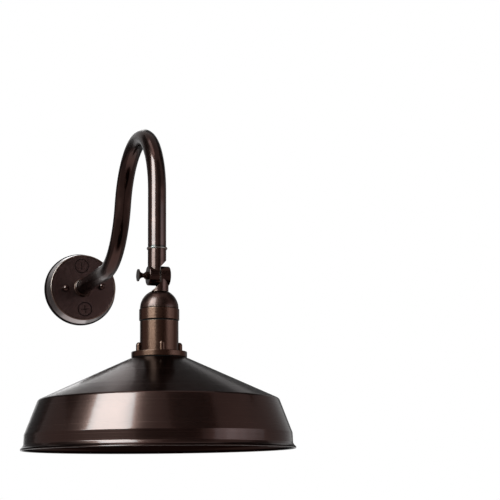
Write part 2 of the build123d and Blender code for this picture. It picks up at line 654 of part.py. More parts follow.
def shade():
    """One spun sheet: flat top, cone, shoulder, skirt, upright band and flared, beaded rim."""
    rim = (SHADE_RIM_R - RIM_BEAD_R, SHADE_TOP_Z - RIM_DROP)
    outside = [(SHADE_HOLE_R, SHADE_TOP_Z), (SHADE_FLAT_R, SHADE_TOP_Z),
               (SHOULDER_R, SHADE_TOP_Z - SHOULDER_DROP), (BAND_TOP_R, SHADE_TOP_Z - BAND_TOP_DROP),
               (BAND_FOOT_R, SHADE_TOP_Z - BAND_FOOT_DROP), rim]
    inside = offset_points(outside, SHADE_SHEET)
    turns_in = (1, 1, 1, -1)
    inner_bends = [bend - turn * SHADE_SHEET for bend, turn in zip(SHADE_BENDS, turns_in)]
    with BuildSketch(Plane.XZ) as profile:
        with BuildLine():
            outer = FilletPolyline(*outside, radius=list(SHADE_BENDS))
            inner = FilletPolyline(*inside, radius=inner_bends)
            Line(outer @ 0, inner @ 0)
            Line(outer @ 1, inner @ 1)
        make_face()
        with Locations(rim):
            Circle(RIM_BEAD_R)
    sheet = revolve(profile.sketch, Axis.Z)
    return sheet - screw_holes(SCREW_R + HOLE_GAP, SHADE_TOP_Z - SHADE_SHEET, SHADE_TOP_Z)


def shade_gasket():
    ring = disc(SHADE_GASKET_R, SHADE_TOP_Z, FLANGE_FOOT_Z, SHADE_HOLE_R)
    return ring - screw_holes(SCREW_R + HOLE_GAP, SHADE_TOP_Z, FLANGE_FOOT_Z)


CLAMP_TOP_Z = SHADE_TOP_Z - SHADE_SHEET


def clamp_ring():
    foot = CLAMP_TOP_Z - CLAMP_RING_THICK
    ring = disc(CLAMP_RING_R, foot, CLAMP_TOP_Z, SHADE_HOLE_R)
    return ring - screw_holes(SCREW_R + HOLE_GAP, foot, CLAMP_TOP_Z)


def shade_screws():
    head_top = CLAMP_TOP_Z - CLAMP_RING_THICK
    head = disc(SCREW_HEAD_R, head_top - SCREW_HEAD_THICK, head_top)
    head = fillet(head.edges().group_by(Axis.Z)[0], SCREW_HEAD_ROUND)
    screw = head + disc(SCREW_R, head_top, FLANGE_FOOT_Z + SCREW_HOLE_DEPTH - TIP_ROOM)
    return solids(*[place * screw for place in SCREW_PLACES])


# ---------------------------------------------------------------- assembly

WALL_PIECES = {
    "wall_gasket": wall_gasket, "canopy": canopy, "crossbar": crossbar, "canopy_studs": canopy_studs,
    "stud_nuts": stud_nuts, "ball_nuts": ball_nuts, "ground_screw": ground_screw,
    "arm_collar": arm_collar, "arm_nipple": arm_nipple, "arm_bushing": arm_bushing,
    "lock_washer": lock_washer, "arm_locknut": arm_locknut}
KNUCKLE_PIECES = {"knuckle_upper": knuckle_upper, "thumb_washer": thumb_washer, "thumbscrew": thumbscrew}
HEAD_PIECES = {
    "socket_cap": socket_cap, "cap_collar": cap_collar, "cap_gasket": cap_gasket, "stub_nut": stub_nut,
    "socket_housing": socket_housing, "lampholder_bracket": lampholder_bracket,
    "lampholder_body": lampholder_body, "lampholder_screws": lampholder_screws,
    "screw_shell": screw_shell, "centre_contact": centre_contact, "shade": shade,
    "shade_gasket": shade_gasket, "clamp_ring": clamp_ring, "shade_screws": shade_screws}

parts = {name: placed(OUT.location, make()) for name, make in WALL_PIECES.items()}
parts["top_plug"] = placed(OUT.location, closure_plug(PLUG_PLACES[0], 1))
parts["bottom_plug"] = placed(OUT.location, closure_plug(PLUG_PLACES[1], 2))
parts["arm_tube"] = arm_tube()
parts["ferrule_ring"] = placed(Pos(0, -REACH, 0), ferrule_ring())
parts.update({name: placed(KNUCKLE, make()) for name, make in KNUCKLE_PIECES.items()})
parts["knuckle_lower"] = placed(HEAD_SIDE, knuckle_lower())
parts.update({name: placed(HEAD, make()) for name, make in HEAD_PIECES.items()})
for wire_name, wire_side in (("live", 1), ("neutral", -1)):
    parts[wire_name + "_wire_arm"] = arm_wire(wire_side)
    parts[wire_name + "_wire_head"] = head_wire(wire_side)

os.makedirs("parts", exist_ok=True)
for part_name, part_shape in parts.items():
    export_step(part_shape, f"parts/{part_name}.step")
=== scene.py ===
import json
import math

import bmesh
import bpy
from mathutils import Matrix, Vector


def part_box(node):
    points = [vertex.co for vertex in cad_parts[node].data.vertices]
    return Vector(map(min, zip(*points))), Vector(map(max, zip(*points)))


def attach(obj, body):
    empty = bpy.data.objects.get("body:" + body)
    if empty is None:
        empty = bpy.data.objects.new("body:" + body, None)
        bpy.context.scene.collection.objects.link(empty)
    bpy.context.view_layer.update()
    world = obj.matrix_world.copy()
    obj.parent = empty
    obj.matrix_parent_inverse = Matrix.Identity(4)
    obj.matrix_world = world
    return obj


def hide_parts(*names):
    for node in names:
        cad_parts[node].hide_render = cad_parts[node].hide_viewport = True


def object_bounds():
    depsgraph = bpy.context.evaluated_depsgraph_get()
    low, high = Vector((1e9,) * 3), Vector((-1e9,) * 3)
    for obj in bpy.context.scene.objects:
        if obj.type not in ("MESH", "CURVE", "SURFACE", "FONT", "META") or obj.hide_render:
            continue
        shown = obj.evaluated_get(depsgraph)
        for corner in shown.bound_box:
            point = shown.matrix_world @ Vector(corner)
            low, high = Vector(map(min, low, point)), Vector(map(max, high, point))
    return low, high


bl_info = {
    "name": "Gooseneck wall sconce",
    "version": (1, 0, 0),
    "blender": (4, 5, 0),
    "location": "3D View > Sidebar > Sconce",
    "description": "Dresses a gooseneck wall sconce: spun shade, bent arm, threads, screws and bronze finishes",
    "category": "Object",
}

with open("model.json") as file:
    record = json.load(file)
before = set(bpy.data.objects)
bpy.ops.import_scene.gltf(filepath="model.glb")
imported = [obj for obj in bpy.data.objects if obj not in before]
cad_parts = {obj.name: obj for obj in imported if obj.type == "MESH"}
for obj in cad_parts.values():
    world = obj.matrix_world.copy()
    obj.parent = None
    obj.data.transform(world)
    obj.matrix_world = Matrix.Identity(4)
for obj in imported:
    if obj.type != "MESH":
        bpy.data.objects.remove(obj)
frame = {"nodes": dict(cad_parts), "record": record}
CAD_BOX = [list(corner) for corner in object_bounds()]
MM = 0.001


def node_box(name):
    """A CAD node's lowest and highest corner as vectors."""
    low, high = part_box(name)
    return Vector(low), Vector(high)


# The frame gives the places that every piece is built from.
SHADE_LOW, SHADE_HIGH = node_box("shade")
TUBE_LOW, TUBE_HIGH = node_box("arm_tube")
STUD_LOW, STUD_HIGH = node_box("canopy_studs")
SHELL_LOW, SHELL_HIGH = node_box("screw_shell")
SCREWS_LOW, SCREWS_HIGH = node_box("shade_screws")
NIPPLE_LOW, NIPPLE_HIGH = node_box("arm_nipple")
CANOPY_LOW, CANOPY_HIGH = node_box("canopy")
RING_LOW, RING_HIGH = node_box("ferrule_ring")
THUMB_LOW, THUMB_HIGH = node_box("thumbscrew")
CLAMP_FACE = node_box("clamp_ring")[0].z
NUT_FRONT = node_box("stud_nuts")[0].y
LOCKNUT_BACK = node_box("arm_locknut")[1].y
CAP_TOP = node_box("socket_cap")[1].z
COLLAR_TOP = node_box("cap_collar")[1].z
GASKET_FACE = node_box("wall_gasket")[0].y
CANOPY_FACE = node_box("top_plug")[0].y  # the plugs lie flush with the canopy's face
PLUG_PLACES = [((low.x + high.x) / 2, (low.z + high.z) / 2)
               for low, high in map(node_box, ("top_plug", "bottom_plug"))]
KNUCKLE_HEIGHT = (THUMB_LOW.z + THUMB_HIGH.z) / 2
HEAD_AXIS = Vector(((SHADE_LOW.x + SHADE_HIGH.x) / 2, (SHADE_LOW.y + SHADE_HIGH.y) / 2, 0))

# Lengths that the frame's boxes don't give.
STUD_RADIUS = 2.05 * MM
FACE_DEPTH = 3.8 * MM  # from the front of the canopy's bead to the back of its face
SHELL_SHEET = 0.3 * MM
SCREW_CIRCLE = 30.4 * MM  # radius of the shade screws' ring
SCREW_SHANK = 1.8 * MM  # a shade screw's radius
SCREW_TURN = math.radians(-8.0)

# How many steps round shapes have.
SHADE_STEPS, TUBE_SIDES, HEAD_SIDES, FLOOR_SIDES = 288, 72, 40, 64
SHELL_AROUND, SHELL_ALONG = 72, 70
RISE_STEPS, CROOK_STEPS = 48, 96


def length(name, description, default):
    """A size that a user may change, in metres."""
    return bpy.props.FloatProperty(name=name, description=description, default=default, min=0.0,
                                   precision=4, unit="LENGTH", subtype="DISTANCE")


def share(name, description, default):
    """A plain factor from nought to one."""
    return bpy.props.FloatProperty(name=name, description=description, default=default, min=0.0, max=1.0)


def colour(name, description, default):
    """A linear colour."""
    return bpy.props.FloatVectorProperty(name=name, description=description, default=default, size=3,
                                         min=0.0, max=1.0, subtype="COLOR")


class ShadeSizes(bpy.types.PropertyGroup):
    """The spun shade's outline, as radii from its axis and drops below its flat top."""
    hole_radius: length("Hole radius", "Round hole in the flat top", 25.0 * MM)
    flat_radius: length("Flat radius", "Where the flat top meets the cone", 43.5 * MM)
    shoulder_radius: length("Shoulder radius", "Where the cone meets the skirt", 178.6 * MM)
    shoulder_drop: length("Shoulder drop", "Depth of the shoulder below the top", 61.9 * MM)
    band_top_radius: length("Band top radius", "Where the skirt meets the band", 197.5 * MM)
    band_top_drop: length("Band top drop", "Depth of the band's top", 112.3 * MM)
    band_foot_radius: length("Band foot radius", "Where the band meets the flare", 198.1 * MM)
    band_foot_drop: length("Band foot drop", "Depth of the band's foot", 127.0 * MM)
    sheet: length("Sheet", "Thickness of the spun sheet", 1.2 * MM)
    bead_radius: length("Bead radius", "Radius of the rolled rim", 1.6 * MM)
    bend: length("Bend radius", "Outer radius of the bends in the sheet", 4.0 * MM)


class ArmSizes(bpy.types.PropertyGroup):
    """The bent tube's route and section."""
    run: length("Run", "Straight length from the wall to the rising bend", 220.0 * MM)
    rise_radius: length("Rising bend", "Centre-line radius of the rising bend", 126.0 * MM)
    rise_angle: bpy.props.FloatProperty(name="Rise", description="How far the arm turns up",
                                        default=math.radians(74.0), unit="ROTATION", subtype="ANGLE")
    straight: length("Straight", "Between the two bends", 8.0 * MM)
    crook_radius: length("Crook", "Centre-line radius of the crook", 111.0 * MM)
    wall: length("Wall", "Thickness of the tube's wall", 1.6 * MM)


class ThreadSizes(bpy.types.PropertyGroup):
    """Pitch and depth of the threads that show."""
    nipple_pitch: length("Nipple pitch", "Thread pitch on the nipple", 0.94 * MM)
    stud_pitch: length("Stud pitch", "Thread pitch on the canopy's studs", 0.8 * MM)
    depth: length("Depth", "Height of a thread's ridge", 0.22 * MM)
    shell_pitch: length("Shell pitch", "Thread pitch of the rolled screw shell", 3.63 * MM)
    shell_depth: length("Shell depth", "Height of the rolled thread", 0.42 * MM)


class ScrewSizes(bpy.types.PropertyGroup):
    """The pan-head screws that hold the shade."""
    count: bpy.props.IntProperty(name="Screws", description="Screws round the shade's hole", default=4, min=1)
    head_radius: length("Head radius", "Radius of a screw's head", 4.0 * MM)
    slot_width: length("Slot width", "Width of the driver slot", 1.0 * MM)
    slot_depth: length("Slot depth", "Depth of the driver slot", 1.1 * MM)


class BronzeFinish(bpy.types.PropertyGroup):
    """Colours of the lacquered bronze."""
    dark: colour("Dark", "Main colour of the lacquer", (0.0170, 0.0070, 0.0054))
    warm: colour("Warm", "Rubbed, warmer patches", (0.0265, 0.0112, 0.0086))
    satin: colour("Satin", "Brushed bronze of housing and collar", (0.0245, 0.0092, 0.0056))
    pan: colour("Pan", "Canopy's face, duller than the rest", (0.0440, 0.0218, 0.0190))
    # bare bronze for worn edges, also a painted highlight on the edges and along the canopy's bead
    rubbed: colour("Rubbed", "Bare bronze where edges are rubbed", (0.105, 0.058, 0.040))
    gloss: share("Bronze roughness", "Roughness of the bronze under its lacquer", 0.20)
    lacquer: share("Lacquer", "How much of the clear lacquer shows", 0.10)
    satin_roughness: share("Satin roughness", "Roughness of the brushed bronze", 0.28)
    edge: share("Edge", "How much of a metal's glare at a grazing angle is left", 0.55)


class SconceSettings(bpy.types.PropertyGroup):
    """Everything a user may change about the sconce."""
    shade: bpy.props.PointerProperty(type=ShadeSizes)
    arm: bpy.props.PointerProperty(type=ArmSizes)
    threads: bpy.props.PointerProperty(type=ThreadSizes)
    screws: bpy.props.PointerProperty(type=ScrewSizes)
    bronze: bpy.props.PointerProperty(type=BronzeFinish)


# ---- nodes

class Nodes:
    """A node tree under construction."""

    def __init__(self, tree):
        self.nodes, self.links = tree.nodes, tree.links

    def feed(self, socket, value):
        """Links an output to a socket, or sets the socket's constant."""
        if isinstance(value, bpy.types.NodeSocket):
            self.links.new(value, socket)
        else:
            socket.default_value = value

    def add(self, kind, inputs=None, **settings):
        """A new node with its own settings; inputs gives each socket an output or a constant."""
        node = self.nodes.new(kind)
        for key, value in settings.items():
            setattr(node, key, value)
        for key, value in (inputs or {}).items():
            self.feed(node.inputs[key], value)
        return node

    def maths(self, operation, *values):
        """One sum; each value is an output or a number."""
        return self.add("ShaderNodeMath", dict(enumerate(values)), operation=operation).outputs["Value"]

    def combine(self, **parts):
        """A vector of outputs or numbers by axis."""
        return self.add("ShaderNodeCombineXYZ", parts).outputs["Vector"]


# ---- materials

class Finish(Nodes):
    """A node material under construction."""

    def __init__(self, name, centre=(0, 0, 0), **constants):
        self.material = bpy.data.materials.new(name)
        self.material.use_nodes = True
        super().__init__(self.material.node_tree)
        self.nodes.clear()
        self.shader = self.add("ShaderNodeBsdfPrincipled")
        self.add("ShaderNodeOutputMaterial", {"Surface": self.shader.outputs["BSDF"]})
        self.place = self.coordinates(centre)
        self.set(**constants)

    def set(self, **values):
        """Constants or outputs for the shader's sockets, by their names with underscores."""
        for key, value in values.items():
            self.feed(self.shader.inputs[key.replace("_", " ")], value)

    def coordinates(self, centre=(0, 0, 0), scale=(1, 1, 1)):
        """Object coordinates, moved so that centre is the origin."""
        place = self.add("ShaderNodeTexCoord").outputs["Object"]
        return self.add("ShaderNodeMapping", {"Vector": place, "Location": centre, "Scale": scale},
                        vector_type="TEXTURE").outputs["Vector"]

    def noise(self, scale, detail=3.0, roughness=0.55, distortion=0.0, vector=None):
        """A noise texture's height over the finish's coordinates, or over vector."""
        return self.add("ShaderNodeTexNoise", {"Vector": vector or self.place, "Scale": scale, "Detail": detail,
                                               "Roughness": roughness, "Distortion": distortion}).outputs["Fac"]

    def span(self, value, low=0.0, high=1.0, from_low=0.3, from_high=0.7):
        """A value spread over a new range."""
        return self.add("ShaderNodeMapRange", {"Value": value, "From Min": from_low, "From Max": from_high,
                                               "To Min": low, "To Max": high}).outputs["Result"]

    def blend(self, factor, first, second):
        """A colour that goes by factor from first, a colour or an output, to second."""
        if not isinstance(first, bpy.types.NodeSocket):
            first = (*first, 1.0)
        return self.add("ShaderNodeMix", {"A": first, "B": (*second, 1.0), "Factor": factor},
                        data_type="RGBA").outputs["Result"]

    def parts(self):
        """The coordinates' outputs X, Y and Z."""
        return self.add("ShaderNodeSeparateXYZ", {"Vector": self.place}).outputs

    def vectors(self, operation, first, second=(0.0, 0.0, 0.0)):
        """The outputs of one sum on vectors."""
        return self.add("ShaderNodeVectorMath", {0: first, 1: second}, operation=operation).outputs

    def away(self, value, at):
        """How far value is from at."""
        return self.maths("ABSOLUTE", self.maths("SUBTRACT", value, at))

    def near(self, value, at, width):
        """One where value is at, falling to nought width away."""
        return self.span(self.away(value, at), 1.0, 0.0, 0.0, width)

    def from_wall_line(self, x, z):
        """Distance from a line that leaves the wall at (x, z)."""
        flat = self.vectors("MULTIPLY", self.place, (1.0, 0.0, 1.0))["Vector"]
        return self.vectors("DISTANCE", flat, (x, 0.0, z))["Value"]

    def faces_inwards(self):
        """One where the surface looks towards the coordinates' Z axis."""
        level = self.vectors("MULTIPLY", self.place, (1.0, 1.0, 0.0))["Vector"]
        normal = self.add("ShaderNodeTexCoord").outputs["Normal"]
        return self.maths("LESS_THAN", self.vectors("DOT_PRODUCT", level, normal)["Value"], 0.0)

    def around(self, scale):
        """Scaled coordinates that are the same all round the Z axis: radius and height only."""
        x, y, z = self.parts()
        radius = self.vectors("LENGTH", self.combine(X=x, Y=y))["Value"]
        return self.combine(X=self.maths("MULTIPLY", radius, scale), Z=self.maths("MULTIPLY", z, scale))

    def edge_marks(self, radius, grain):
        """One along sharp edges, broken up by grain."""
        soft = self.add("ShaderNodeBevel", {"Radius": radius}, samples=4).outputs["Normal"]
        plain = self.add("ShaderNodeNewGeometry").outputs["Normal"]
        edge = self.span(self.vectors("DOT_PRODUCT", soft, plain)["Value"], 1.0, 0.0, 0.90, 0.985)
        return self.maths("MULTIPLY", edge, self.span(grain, 0.35, 1.0, 0.35, 0.6))

    def bump(self, height, distance, strength, below=None):
        """Relief of metal and lacquer; below is an earlier relief that this one lies on."""
        inputs = {"Height": height, "Distance": distance, "Strength": strength}
        if below is not None:
            inputs["Normal"] = below
        relief = self.add("ShaderNodeBump", inputs).outputs["Normal"]
        self.set(Normal=relief, Coat_Normal=relief)
        return relief


# painted highlight: light bronze for the ferrule ring's crest and the knuckle's teeth
PAINTED_HIGHLIGHT = (0.20, 0.16, 0.14)
JOINT_SHADOW = (0.002, 0.0012, 0.001)
# painted shade: near black for the gaps round the canopy's plugs, their slots and the canopy's foot
PAINTED_SHADE = (0.004, 0.003, 0.003)
EDGE_MARK_WIDTH = 0.7 * MM  # width of the edges of worn bronze, which also stand in as a painted highlight

# Marks on the canopy: painted highlight on the bead; painted shade round the plugs, in their slots and at the foot.
BEAD_RADIUS, BEAD_WIDTH = 61.4 * MM, 1.0 * MM
PLUG_RADIUS, PLUG_GAP = 12.9 * MM, 1.3 * MM
SLOT_START, SLOT_FULL = CANOPY_FACE + 0.15 * MM, CANOPY_FACE + 0.6 * MM
PAINTED_SHADE_END, PAINTED_SHADE_GONE = CANOPY_FACE + 2.0 * MM, CANOPY_FACE + 2.6 * MM
FOOT_START, FOOT_FULL = GASKET_FACE - 8 * MM, GASKET_FACE - 4 * MM
FOOT_RADIUS = CANOPY_HIGH.x - 6 * MM

# Marks on the knuckle and its neighbours: painted highlights on the ring's crest and teeth, painted shadows in joints.
RING_CREST = RING_LOW.z * 0.7 + RING_HIGH.z * 0.3
CREST_WIDTH = 0.9 * MM
LEG_JOINT, LEG_JOINT_WIDTH = RING_CREST + 2.6 * MM, 2.4 * MM
CAP_SEAM, CAP_SEAM_WIDTH = COLLAR_TOP + 0.3 * MM, 1.3 * MM
TEETH_WIDTH, TEETH_FADE, BOSS_RADIUS = 1.5 * MM, 40 * MM, 11 * MM
CAP_BLEND = 2 * MM  # depth over which gloss turns to satin


def times(tone, factor):
    """A colour made lighter or darker."""
    return tuple(min(1.0, part * factor) for part in tone)


def bronze_metal(name, bronze, **constants):
    """The start of each lacquered bronze: metal with less glare at a grazing angle."""
    return Finish(name, Metallic=1.0, Specular_Tint=(*[bronze.edge] * 3, 1.0), **constants)


def gloss_bronze(name, bronze, ring=False):
    """Dark oil-rubbed bronze under clear lacquer: warm patches, slight orange peel, worn edges as painted highlight.

    With ring, the ferrule ring's crest gets a painted highlight and the joint above it a painted shadow."""
    finish = bronze_metal(name, bronze, Coat_Weight=bronze.lacquer, Coat_Roughness=0.06)
    patches = finish.noise(38.0, detail=5.0, distortion=0.4)
    tone = finish.blend(finish.span(patches), bronze.dark, bronze.warm)
    # painted shadow: a dark band in the joint above the ferrule ring
    if ring:
        height = finish.parts()["Z"]
        tone = finish.blend(finish.near(height, LEG_JOINT, LEG_JOINT_WIDTH), tone, JOINT_SHADOW)
    # worn bronze on the edges, which also stands in as a painted highlight
    tone = finish.blend(finish.edge_marks(EDGE_MARK_WIDTH, patches), tone, bronze.rubbed)
    # painted highlight: a light line along the ferrule ring's crest
    if ring:
        tone = finish.blend(finish.near(height, RING_CREST, CREST_WIDTH), tone, PAINTED_HIGHLIGHT)
    smears = finish.noise(60.0, detail=2.0)
    finish.set(Base_Color=tone, Roughness=finish.span(smears, bronze.gloss * 0.92, bronze.gloss * 1.12))
    finish.bump(finish.noise(200.0, detail=1.0), 0.00001, 0.2)


def pan_bronze(name, bronze):
    """The canopy's bronze: painted shade in its slots, round the plugs and at the foot, and a painted bead highlight.
    """
    finish = Finish(name, Specular_IOR_Level=0.0, Coat_Roughness=0.08)
    pale = times(bronze.pan, 1.16)
    patches = finish.noise(26.0, detail=6.0, distortion=0.5)
    specks = finish.noise(420.0, detail=2.0)
    tone = finish.blend(finish.span(patches), bronze.pan, pale)
    tone = finish.blend(finish.span(specks, 0.0, 0.5, 0.55, 0.8), tone, times(pale, 1.6))
    out = finish.from_wall_line(0.0, 0.0)
    # worn bronze on the edges, which also stands in as a painted highlight; the ring along the bead is a painted
    # highlight only
    edges = finish.maths("MULTIPLY", finish.edge_marks(EDGE_MARK_WIDTH, patches), 0.35)
    highlight_and_wear = finish.maths("MAXIMUM", finish.near(out, BEAD_RADIUS, BEAD_WIDTH), edges)
    tone = finish.blend(highlight_and_wear, tone, bronze.rubbed)
    # painted shade: darker towards the wall at the side wall's foot, in the plugs' slots and in the gaps round them
    depth = finish.parts()["Y"]
    foot = finish.span(depth, 0.0, 1.0, FOOT_START, FOOT_FULL)
    painted_shade = finish.maths("MULTIPLY", foot, finish.maths("GREATER_THAN", out, FOOT_RADIUS))
    slots = finish.span(depth, 0.0, 1.0, SLOT_START, SLOT_FULL)
    shallow = finish.span(depth, 1.0, 0.0, PAINTED_SHADE_END, PAINTED_SHADE_GONE)
    for x, z in PLUG_PLACES:
        out = finish.from_wall_line(x, z)
        gap = finish.span(finish.near(out, PLUG_RADIUS, PLUG_GAP), 0.0, 1.0, 0.0, 0.5)
        head = finish.maths("MULTIPLY", finish.maths("LESS_THAN", out, PLUG_RADIUS), slots)
        plug = finish.maths("MULTIPLY", finish.maths("MAXIMUM", gap, head), shallow)
        painted_shade = finish.maths("MAXIMUM", painted_shade, plug)
    unshaded = finish.maths("SUBTRACT", 1.0, painted_shade)
    smears = finish.span(finish.noise(150.0, detail=2.0), bronze.gloss * 1.05, bronze.gloss * 1.35)
    finish.set(Base_Color=finish.blend(finish.maths("MULTIPLY", painted_shade, 0.92), tone, PAINTED_SHADE), Metallic=unshaded,
               Coat_Weight=finish.maths("MULTIPLY", unshaded, bronze.lacquer),
               Roughness=finish.maths("ADD", smears, finish.maths("MULTIPLY", painted_shade, 0.3)))
    finish.bump(finish.noise(300.0, detail=2.0), 0.00002, 0.2)


def satin_bronze(name, bronze):
    """Brushed bronze of housing and collar: a fine grain, a sheen drawn along Z, worn edges as painted highlight."""
    finish = bronze_metal(name, bronze, Coat_Weight=0.06, Coat_Roughness=0.22, Anisotropic=0.6)
    upright = finish.add("ShaderNodeVectorTransform", {"Vector": finish.combine(Z=1.0)}, vector_type="VECTOR",
                         convert_from="OBJECT", convert_to="WORLD").outputs["Vector"]
    patches = finish.noise(55.0, detail=5.0, distortion=0.6)
    grain = finish.noise(950.0, roughness=0.7)
    mixed = finish.maths("MULTIPLY_ADD", patches, 0.4, finish.maths("MULTIPLY", grain, 0.6))
    tone = finish.blend(finish.span(mixed, 0.0, 1.0, 0.36, 0.64), bronze.satin, times(bronze.satin, 1.35))
    # worn bronze on the edges, which also stands in as a painted highlight
    tone = finish.blend(finish.edge_marks(0.8 * MM, patches), tone, bronze.rubbed)
    rough = finish.span(grain, bronze.satin_roughness * 0.8, bronze.satin_roughness * 1.35)
    finish.set(Base_Color=tone, Roughness=rough, Tangent=upright)
    base = finish.bump(finish.noise(300.0, detail=2.0), 0.00006, 0.3)
    finish.bump(grain, 0.00007, 0.6, below=base)


def casting_bronze(name, bronze):
    """Knuckle and cap bronze: finer, rougher skin; painted highlight on teeth; painted shadow in the seam over the
    collar.
    """
    finish = bronze_metal(name, bronze, Coat_Weight=bronze.lacquer * 0.5, Coat_Roughness=0.16)
    across, _, height = finish.parts()
    patches = finish.noise(70.0, detail=6.0, distortion=0.6)
    tone = finish.blend(finish.span(patches), bronze.dark, bronze.warm)
    # worn bronze on the edges, which also stands in as a painted highlight
    tone = finish.blend(finish.edge_marks(EDGE_MARK_WIDTH, patches), tone, bronze.rubbed)
    # painted highlight: light dots along the teeth at the knuckle's seam
    teeth = finish.maths("MULTIPLY", finish.near(across, HEAD_AXIS.x / 2, TEETH_WIDTH),
                         finish.near(height, KNUCKLE_HEIGHT, TEETH_FADE))
    boss = finish.maths("LESS_THAN", finish.away(height, KNUCKLE_HEIGHT), BOSS_RADIUS)
    tone = finish.blend(finish.maths("MULTIPLY", teeth, boss), tone, PAINTED_HIGHLIGHT)
    # painted shadow in the seam over the cap's collar
    tone = finish.blend(finish.near(height, CAP_SEAM, CAP_SEAM_WIDTH), tone, JOINT_SHADOW)
    satin = finish.span(height, 0.10, 0.0, CAP_TOP - CAP_BLEND, CAP_TOP)
    smears = finish.span(finish.noise(260.0), bronze.gloss * 0.8, bronze.gloss * 1.3)
    finish.set(Base_Color=tone, Roughness=finish.maths("ADD", smears, satin))
    finish.bump(finish.noise(700.0, detail=4.0), 0.00004, 0.3)


def spun_bronze(name, bronze):
    """Lacquered bronze with the fine rings that spinning leaves; the shade's inside is darker and has no lacquer."""
    line_scale, line_depth = 1400.0, 0.00003
    finish = bronze_metal(name, bronze, centre=HEAD_AXIS, Coat_Roughness=0.10)
    lines = finish.noise(1.0, detail=4.0, roughness=0.7, vector=finish.around(line_scale))
    broad = finish.noise(1.0, detail=2.0, vector=finish.around(line_scale * 0.06))
    patches = finish.noise(16.0, detail=4.0)
    mixed = finish.maths("MULTIPLY_ADD", lines, 0.55, finish.maths("MULTIPLY", patches, 0.45))
    tone = finish.blend(finish.span(mixed), bronze.dark, bronze.warm)
    # painted shade: the shade's inside is darker and has no lacquer
    inside = finish.faces_inwards()
    finish.set(Base_Color=finish.blend(inside, tone, times(bronze.dark, 0.45)),
               Coat_Weight=finish.span(inside, bronze.lacquer, 0.0, 0.0, 1.0),
               Roughness=finish.span(lines, bronze.gloss * 0.75, bronze.gloss * 1.5))
    base = finish.bump(broad, line_depth * 6.0, 0.5)
    finish.bump(lines, line_depth, 0.6, below=base)


def zinc_plate(name):
    """Bright zinc with a faint yellow-blue passivation, painted shade along the edges and fine drawing lines."""
    finish = Finish(name, Metallic=1.0)
    cloud = finish.noise(120.0, detail=4.0, distortion=0.8)
    tone = finish.blend(finish.span(cloud), (0.36, 0.38, 0.41), (0.48, 0.46, 0.40))
    # painted shade along the edges, which marks the outlines of the screw heads
    tone = finish.blend(finish.edge_marks(0.5 * MM, cloud), tone, (0.16, 0.16, 0.17))
    finish.set(Base_Color=tone, Roughness=finish.span(finish.noise(420.0), 0.24, 0.42))
    drawn = finish.coordinates(scale=(0.001, 0.02, 0.001))
    finish.bump(finish.noise(1.0, vector=drawn), 0.00002, 0.4)


def plain_finish(name, colours, scale, roughness=None, relief=None, detail=3.0, distortion=0.0, **constants):
    """Two colours mixed by a noise. Roughness (low, high) and relief (distance, strength) follow it too, or a noise
    of their own where they end with its scale."""
    finish = Finish(name, **constants)
    cloud = finish.noise(scale, detail, distortion=distortion)
    finish.set(Base_Color=finish.blend(finish.span(cloud), *colours))
    if roughness:
        low, high, *own = roughness
        finish.set(Roughness=finish.span(finish.noise(*own) if own else cloud, low, high))
    if relief:
        distance, strength, *own = relief
        finish.bump(finish.noise(*own) if own else cloud, distance, strength)
    return finish.material


WIRE = dict(scale=500.0, roughness=(0.32, 0.5), relief=(0.00002, 0.3), IOR=1.5)

# Enamel of the earth screw, tarnished brass, glazed porcelain, gasket rubber and the conductors' insulation.
PLAIN_FINISHES = {
    "green_steel": dict(colours=((0.012, 0.17, 0.045), (0.03, 0.27, 0.08)), scale=300.0, roughness=(0.3, 0.5),
                        Coat_Weight=0.4),
    "brass": dict(colours=((0.74, 0.53, 0.20), (0.52, 0.33, 0.11)), scale=160.0, detail=5.0, distortion=0.5,
                  roughness=(0.16, 0.36), relief=(0.00002, 0.3, 800.0), Metallic=1.0),
    "porcelain": dict(colours=((0.86, 0.85, 0.81), (0.80, 0.78, 0.72)), scale=60.0, roughness=(0.12, 0.24, 250.0),
                      relief=(0.0001, 0.25, 180.0), IOR=1.5, Coat_Weight=0.3, Coat_Roughness=0.05),
    "black_rubber": dict(colours=((0.006, 0.006, 0.006), (0.014, 0.013, 0.013)), scale=900.0, detail=4.0,
                         roughness=(0.55, 0.8), relief=(0.00005, 0.5), IOR=1.45, Specular_IOR_Level=0.03),
    "wire_black": dict(WIRE, colours=((0.012, 0.012, 0.013), (0.022, 0.022, 0.024))),
    "wire_white": dict(WIRE, colours=((0.78, 0.78, 0.75), (0.70, 0.69, 0.65))),
}


def make_finishes(bronze):
    """Every material of the lamp, each named as the record's slot."""
    pan_bronze("canopy_bronze", bronze)
    gloss_bronze("arm_bronze", bronze, ring=True)
    casting_bronze("knuckle_bronze", bronze)
    spun_bronze("shade_bronze", bronze)
    satin_bronze("cast_bronze", bronze)
    gloss_bronze("fastener_bronze", bronze)
    zinc_plate("zinc_steel")
    for name, recipe in PLAIN_FINISHES.items():
        plain_finish(name, **recipe)


def slot_of(node):
    """The record's material slot of a CAD node."""
    return next(row["material_slot"] for row in frame["record"]["subparts"] if row["node"] == node)


def finish_of(node):
    """The finished material of a CAD node."""
    return bpy.data.materials[slot_of(node)]


# ---- Geometry Nodes

GUIDE_RADIUS = 0.1  # circle that the spun outlines are swept along
THREAD_STEPS = 24  # points in one turn of a thread
RIDGE_SIDES = 3  # sides of a thread's section
SLOT_TURN = 0.9  # the screws' slots don't line up


